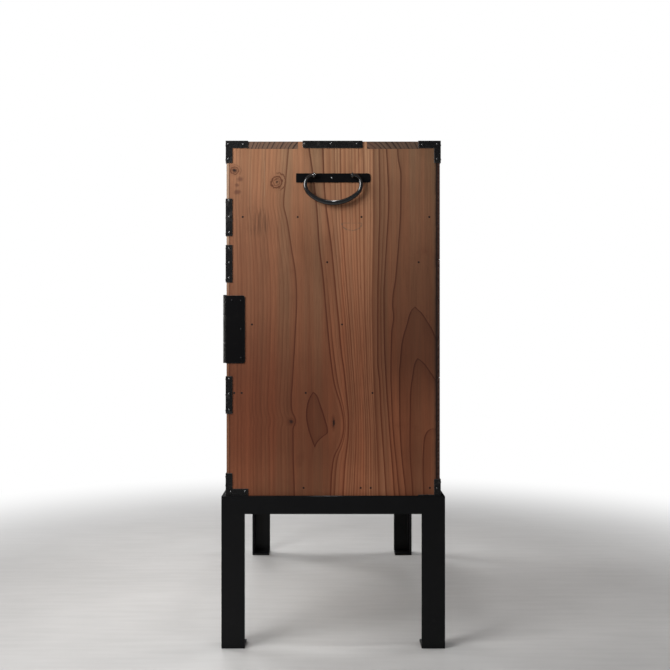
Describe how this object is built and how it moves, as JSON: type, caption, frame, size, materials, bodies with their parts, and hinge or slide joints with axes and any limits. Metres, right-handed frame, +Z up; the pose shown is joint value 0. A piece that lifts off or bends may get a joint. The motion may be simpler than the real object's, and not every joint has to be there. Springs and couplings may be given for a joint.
{
  "type": "small tansu chest on a stand",
  "caption": "Small cedar tansu chest with sliding drawers, a hinged cupboard door, swinging iron bails and side handles, on a stand of black angle steel.",
  "frame": {"origin": "on the floor, under the middle of the stand", "axes": "+Z up, -Y is the front where the drawers and the door open, +X is the hinge side of the door"},
  "size_m": [0.7234, 0.3843, 0.8665],
  "materials": {
    "case_cedar": "oiled red-brown cedar with upright grain",
    "front_cedar": "oiled red-brown cedar",
    "inner_cedar": "plain planed softwood",
    "black_iron": "hammered, waxed black",
    "stand_steel": "satin black"
  },
  "bodies": {
    "chest": {"back_boards": "inner_cedar", "base_rail": "front_cedar", "bottom_board": "inner_cedar", "bottom_corner_irons": "black_iron", "cupboard_divider": "inner_cedar", "cupboard_shelf": "inner_cedar", "front_edge_straps": "black_iron", "front_facing_strips": "front_cedar", "hinge_case_leaf": "black_iron", "hinge_pin": "black_iron", "left_drawer_shelf": "inner_cedar", "shelf_over_cupboard": "inner_cedar", "shelf_under_cupboard": "inner_cedar", "shelf_under_top_drawer": "inner_cedar", "side_board_left": "case_cedar", "side_board_right": "case_cedar", "side_handle_eyes": "black_iron", "side_handle_plates": "black_iron", "stand_foot_plates": "stand_steel", "stand_leg_front_left": "stand_steel", "stand_leg_front_right": "stand_steel", "stand_leg_rear_left": "stand_steel", "stand_leg_rear_right": "stand_steel", "stand_rail_front": "stand_steel", "stand_rail_left": "stand_steel", "stand_rail_rear": "stand_steel", "stand_rail_right": "stand_steel", "top_board": "case_cedar", "top_corner_irons": "black_iron", "top_edge_straps": "black_iron"},
    "top_drawer": {"top_drawer_front": "front_cedar", "top_drawer_box": "inner_cedar", "top_drawer_eyes": "black_iron"},
    "top_bail_left": {"top_drawer_bail_left": "black_iron"},
    "top_bail_right": {"top_drawer_bail_right": "black_iron"},
    "shallow_drawer": {"shallow_drawer_front": "front_cedar", "shallow_drawer_box": "inner_cedar", "shallow_drawer_eyes": "black_iron"},
    "shallow_bail_left": {"shallow_drawer_bail_left": "black_iron"},
    "shallow_bail_right": {"shallow_drawer_bail_right": "black_iron"},
    "upper_left_drawer": {"upper_left_drawer_front": "front_cedar", "upper_left_drawer_box": "inner_cedar", "upper_left_drawer_eyes": "black_iron"},
    "upper_left_bail": {"upper_left_drawer_bail": "black_iron"},
    "lower_left_drawer": {"lower_left_drawer_front": "front_cedar", "lower_left_drawer_box": "inner_cedar", "lower_left_drawer_eyes": "black_iron"},
    "lower_left_bail": {"lower_left_drawer_bail": "black_iron"},
    "bottom_drawer": {"bottom_drawer_front": "front_cedar", "bottom_drawer_box": "inner_cedar", "bottom_drawer_eyes": "black_iron"},
    "bottom_bail_left": {"bottom_drawer_bail_left": "black_iron"},
    "bottom_bail_right": {"bottom_drawer_bail_right": "black_iron"},
    "door": {"door_frame": "front_cedar", "door_panel": "front_cedar", "door_hinge_leaf": "black_iron", "door_ring_eye": "black_iron"},
    "door_ring": {"door_ring": "black_iron"},
    "side_bail_right": {"side_bail_right": "black_iron"},
    "side_bail_left": {"side_bail_left": "black_iron"}
  },
  "joints": [
    {"name": "top_drawer_slide", "type": "slide", "parent": "chest", "child": "top_drawer", "axis": [0, -1, 0], "range_m": [0, 0.27]},
    {"name": "top_bail_left_swing", "type": "hinge", "parent": "top_drawer", "child": "top_bail_left", "pos_m": [-0.16633, -0.1895, 0.8059], "axis": [-1, 0, 0], "range_deg": [0, 165]},
    {"name": "top_bail_right_swing", "type": "hinge", "parent": "top_drawer", "child": "top_bail_right", "pos_m": [0.16633, -0.1895, 0.8059], "axis": [-1, 0, 0], "range_deg": [0, 165]},
    {"name": "shallow_drawer_slide", "type": "slide", "parent": "chest", "child": "shallow_drawer", "axis": [0, -1, 0], "range_m": [0, 0.27]},
    {"name": "shallow_bail_left_swing", "type": "hinge", "parent": "shallow_drawer", "child": "shallow_bail_left", "pos_m": [-0.16633, -0.1895, 0.70615], "axis": [-1, 0, 0], "range_deg": [0, 165]},
    {"name": "shallow_bail_right_swing", "type": "hinge", "parent": "shallow_drawer", "child": "shallow_bail_right", "pos_m": [0.16633, -0.1895, 0.70615], "axis": [-1, 0, 0], "range_deg": [0, 165]},
    {"name": "upper_left_drawer_slide", "type": "slide", "parent": "chest", "child": "upper_left_drawer", "axis": [0, -1, 0], "range_m": [0, 0.27]},
    {"name": "upper_left_bail_swing", "type": "hinge", "parent": "upper_left_drawer", "child": "upper_left_bail", "pos_m": [-0.146, -0.1895, 0.61152], "axis": [-1, 0, 0], "range_deg": [0, 165]},
    {"name": "lower_left_drawer_slide", "type": "slide", "parent": "chest", "child": "lower_left_drawer", "axis": [0, -1, 0], "range_m": [0, 0.27]},
    {"name": "lower_left_bail_swing", "type": "hinge", "parent": "lower_left_drawer", "child": "lower_left_bail", "pos_m": [-0.146, -0.1895, 0.49977], "axis": [-1, 0, 0], "range_deg": [0, 165]},
    {"name": "bottom_drawer_slide", "type": "slide", "parent": "chest", "child": "bottom_drawer", "axis": [0, -1, 0], "range_m": [0, 0.27]},
    {"name": "bottom_bail_left_swing", "type": "hinge", "parent": "bottom_drawer", "child": "bottom_bail_left", "pos_m": [-0.16633, -0.1895, 0.36315], "axis": [-1, 0, 0], "range_deg": [0, 165]},
    {"name": "bottom_bail_right_swing", "type": "hinge", "parent": "bottom_drawer", "child": "bottom_bail_right", "pos_m": [0.16633, -0.1895, 0.36315], "axis": [-1, 0, 0], "range_deg": [0, 165]},
    {"name": "door_hinge", "type": "hinge", "parent": "chest", "child": "door", "pos_m": [0.33305, -0.1862, 0.5435], "axis": [0, 0, 1], "range_deg": [0, 165]},
    {"name": "door_ring_swing", "type": "hinge", "parent": "door", "child": "door_ring", "pos_m": [0.07325, -0.1895, 0.54725], "axis": [-1, 0, 0], "range_deg": [0, 165]},
    {"name": "side_bail_right_swing", "type": "hinge", "parent": "chest", "child": "side_bail_right", "pos_m": [0.35695, 0, 0.806], "axis": [0, -1, 0], "range_deg": [0, 165]},
    {"name": "side_bail_left_swing", "type": "hinge", "parent": "chest", "child": "side_bail_left", "pos_m": [-0.35695, 0, 0.806], "axis": [0, 1, 0], "range_deg": [0, 165]}
  ]
}
